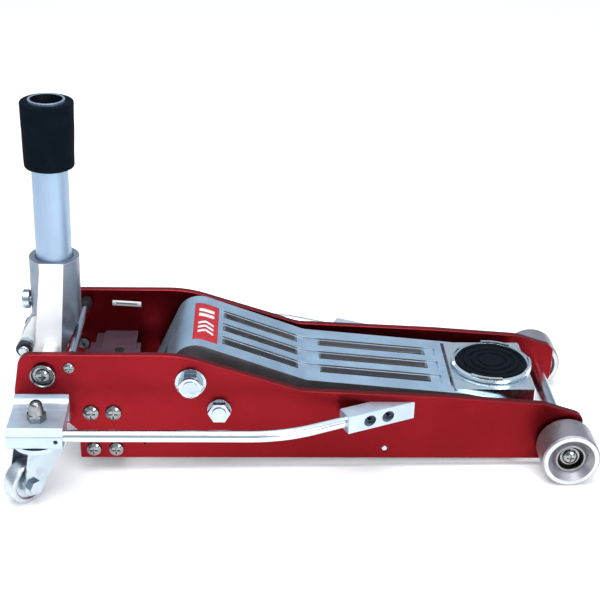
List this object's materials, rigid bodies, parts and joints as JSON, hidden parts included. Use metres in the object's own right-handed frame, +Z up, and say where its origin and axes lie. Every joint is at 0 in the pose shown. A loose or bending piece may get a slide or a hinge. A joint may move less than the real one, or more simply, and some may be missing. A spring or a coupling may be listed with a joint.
{
  "type": "trolley jack",
  "caption": "Low-profile hydraulic trolley jack: wheeled frame with side plates, slotted lift arm, round saddle, socketed handle, swivel casters and side carry rods.",
  "frame": {"origin": "middle of the jack in length and width, on the floor that its wheels stand on", "axes": "+X towards the saddle end, +Y towards the far side, +Z up"},
  "size_m": [0.7679, 0.3784, 0.4819],
  "materials": {
    "anodised_red": "red anodised, satin",
    "machined_aluminium": "machined, satin",
    "chromed_bar": "polished and plated",
    "cast_aluminium": "cast and polished, satin",
    "anodised_silver": "clear anodised, satin",
    "socket_metal": "cast, zinc plated",
    "plated_steel": "bright plated",
    "pad_rubber": "moulded",
    "grip_foam": "closed-cell foam, matte",
    "sleeve_rubber": "smooth",
    "dark_paint": "dark paint, satin",
    "bronze": "sintered bronze",
    "polished_steel": "ground and polished",
    "zinc_plate": "bright zinc plated",
    "caster_metal": "turned, satin",
    "screw_steel": "plated, slightly dark",
    "black_plastic": "moulded"
  },
  "bodies": {
    "frame": {"side_plate_near": "anodised_red", "side_plate_far": "anodised_red", "caster_bracket_near": "machined_aluminium", "caster_bracket_far": "machined_aluminium", "bracket_screws": "screw_steel", "carry_rod_near": "chromed_bar", "carry_rod_far": "chromed_bar", "carry_block_near": "machined_aluminium", "carry_block_far": "machined_aluminium", "carry_rod_screws": "zinc_plate", "front_axle": "polished_steel", "axle_spacers": "zinc_plate", "axle_end_screws": "screw_steel", "power_unit_body": "dark_paint", "ram_cylinder": "polished_steel", "power_unit_cover": "dark_paint", "filler_plug": "black_plastic", "power_unit_screws": "screw_steel", "arm_pivot_shaft": "polished_steel", "arm_pivot_nuts": "zinc_plate", "link_pivot_bolts": "zinc_plate", "link_pivot_nuts": "zinc_plate", "handle_pivot_shaft": "polished_steel", "handle_pivot_sleeves": "zinc_plate", "handle_pivot_screws": "screw_steel", "handle_stop_bar": "polished_steel", "stop_bar_sleeves": "sleeve_rubber", "stop_bar_screws": "screw_steel", "spring_anchor_rod": "zinc_plate", "caster_studs": "zinc_plate", "cap_nuts": "screw_steel"},
    "lift_arm": {"lift_arm": "cast_aluminium", "arm_bushes": "bronze", "ram_roller_pin": "zinc_plate", "saddle_bracket_pin": "polished_steel"},
    "ram_roller": {"ram_roller": "zinc_plate"},
    "saddle_bracket": {"saddle_bracket": "plated_steel"},
    "saddle": {"saddle_cup": "plated_steel", "saddle_pad": "pad_rubber"},
    "level_links": {"level_link_near": "dark_paint", "level_link_far": "dark_paint", "level_link_pin": "polished_steel"},
    "ram": {"ram_rod": "polished_steel"},
    "handle_socket": {"handle_socket": "socket_metal", "pump_roller_pin": "zinc_plate", "roller_pin_rings": "zinc_plate"},
    "pump_roller": {"pump_roller": "zinc_plate"},
    "pump": {"pump_plunger": "polished_steel"},
    "clamp_knob": {"clamp_knob": "zinc_plate"},
    "handle": {"handle_tube": "anodised_silver", "foam_sleeve": "grip_foam"},
    "release_valve": {"release_valve_stem": "zinc_plate"},
    "front_wheel_near": {"front_wheel_near": "machined_aluminium"},
    "front_wheel_far": {"front_wheel_far": "machined_aluminium"},
    "caster_near": {"caster_fork_near": "zinc_plate", "caster_axle_near": "zinc_plate"},
    "caster_far": {"caster_fork_far": "zinc_plate", "caster_axle_far": "zinc_plate"},
    "caster_wheel_near": {"caster_wheel_near": "caster_metal"},
    "caster_wheel_far": {"caster_wheel_far": "caster_metal"}
  },
  "joints": [
    {"name": "arm_lift", "type": "hinge", "parent": "frame", "child": "lift_arm", "pos_m": [-0.14614, 0, 0.13414], "axis": [0, -1, 0], "range_deg": [0, 60]},
    {"name": "saddle_level", "type": "hinge", "parent": "lift_arm", "child": "saddle_bracket", "pos_m": [0.23883, 0, 0.06572], "axis": [0, -1, 0], "range_deg": [-60, 0]},
    {"name": "saddle_turn", "type": "hinge", "parent": "saddle_bracket", "child": "saddle", "pos_m": [0.26134, 0, 0.09797], "axis": [0.0159, 0, 0.9999], "continuous": true},
    {"name": "links_swing", "type": "hinge", "parent": "frame", "child": "level_links", "pos_m": [-0.11019, 0, 0.09247], "axis": [0, -1, 0], "range_deg": [0, 60]},
    {"name": "ram_push", "type": "slide", "parent": "frame", "child": "ram", "axis": [0.9999, 0, -0.0159], "range_m": [0, 0.0701]},
    {"name": "ram_roller_spin", "type": "hinge", "parent": "lift_arm", "child": "ram_roller", "pos_m": [-0.18209, 0, 0.07408], "axis": [0, -1, 0], "continuous": true},
    {"name": "handle_swing", "type": "hinge", "parent": "frame", "child": "handle_socket", "pos_m": [-0.33435, 0, 0.14733], "axis": [0, -1, 0], "range_deg": [0, 60]},
    {"name": "pump_stroke", "type": "slide", "parent": "frame", "child": "pump", "axis": [0.424, 0, -0.9056], "range_m": [0, 0.0338]},
    {"name": "pump_roller_spin", "type": "hinge", "parent": "handle_socket", "child": "pump_roller", "pos_m": [-0.36793, 0, 0.15022], "axis": [0, -1, 0], "continuous": true},
    {"name": "handle_twist", "type": "hinge", "parent": "handle_socket", "child": "handle", "pos_m": [-0.32481, 0, 0.2692], "axis": [0.0323, 0, 0.9995], "range_deg": [0, 180]},
    {"name": "release_turn", "type": "hinge", "parent": "frame", "child": "release_valve", "pos_m": [-0.29417, 0.04, 0.07019], "axis": [-0.9999, 0, 0.0159], "range_deg": [0, 180]},
    {"name": "clamp_turn", "type": "hinge", "parent": "handle_socket", "child": "clamp_knob", "pos_m": [-0.35948, 0, 0.20578], "axis": [-0.9995, 0, 0.0323], "continuous": true},
    {"name": "front_near_spin", "type": "hinge", "parent": "frame", "child": "front_wheel_near", "pos_m": [0.3469, -0.128, 0.038], "axis": [0, 1, 0], "continuous": true},
    {"name": "front_far_spin", "type": "hinge", "parent": "frame", "child": "front_wheel_far", "pos_m": [0.3469, 0.128, 0.038], "axis": [0, 1, 0], "continuous": true},
    {"name": "caster_near_swivel", "type": "hinge", "parent": "frame", "child": "caster_near", "pos_m": [-0.33904, -0.146, 0.0789], "axis": [0.0159, 0, 0.9999], "continuous": true},
    {"name": "caster_far_swivel", "type": "hinge", "parent": "frame", "child": "caster_far", "pos_m": [-0.33904, 0.146, 0.0789], "axis": [0.0159, 0, 0.9999], "continuous": true},
    {"name": "caster_near_spin", "type": "hinge", "parent": "caster_near", "child": "caster_wheel_near", "pos_m": [-0.35682, -0.16297, 0.028], "axis": [0.707, -0.7071, -0.0112], "continuous": true},
    {"name": "caster_far_spin", "type": "hinge", "parent": "caster_far", "child": "caster_wheel_far", "pos_m": [-0.35682, 0.16297, 0.028], "axis": [0.707, 0.7071, -0.0112], "continuous": true}
  ],
  "couplings": [
    {"joint": "saddle_level", "follows": "arm_lift", "ratio": -1},
    {"joint": "links_swing", "follows": "arm_lift", "ratio": 1},
    {"joint": "ram_push", "follows": "arm_lift", "m_per_rad": 0.066845},
    {"joint": "pump_stroke", "follows": "handle_swing", "m_per_rad": 0.032181},
    {"joint": "release_turn", "follows": "handle_twist", "ratio": 1}
  ]
}
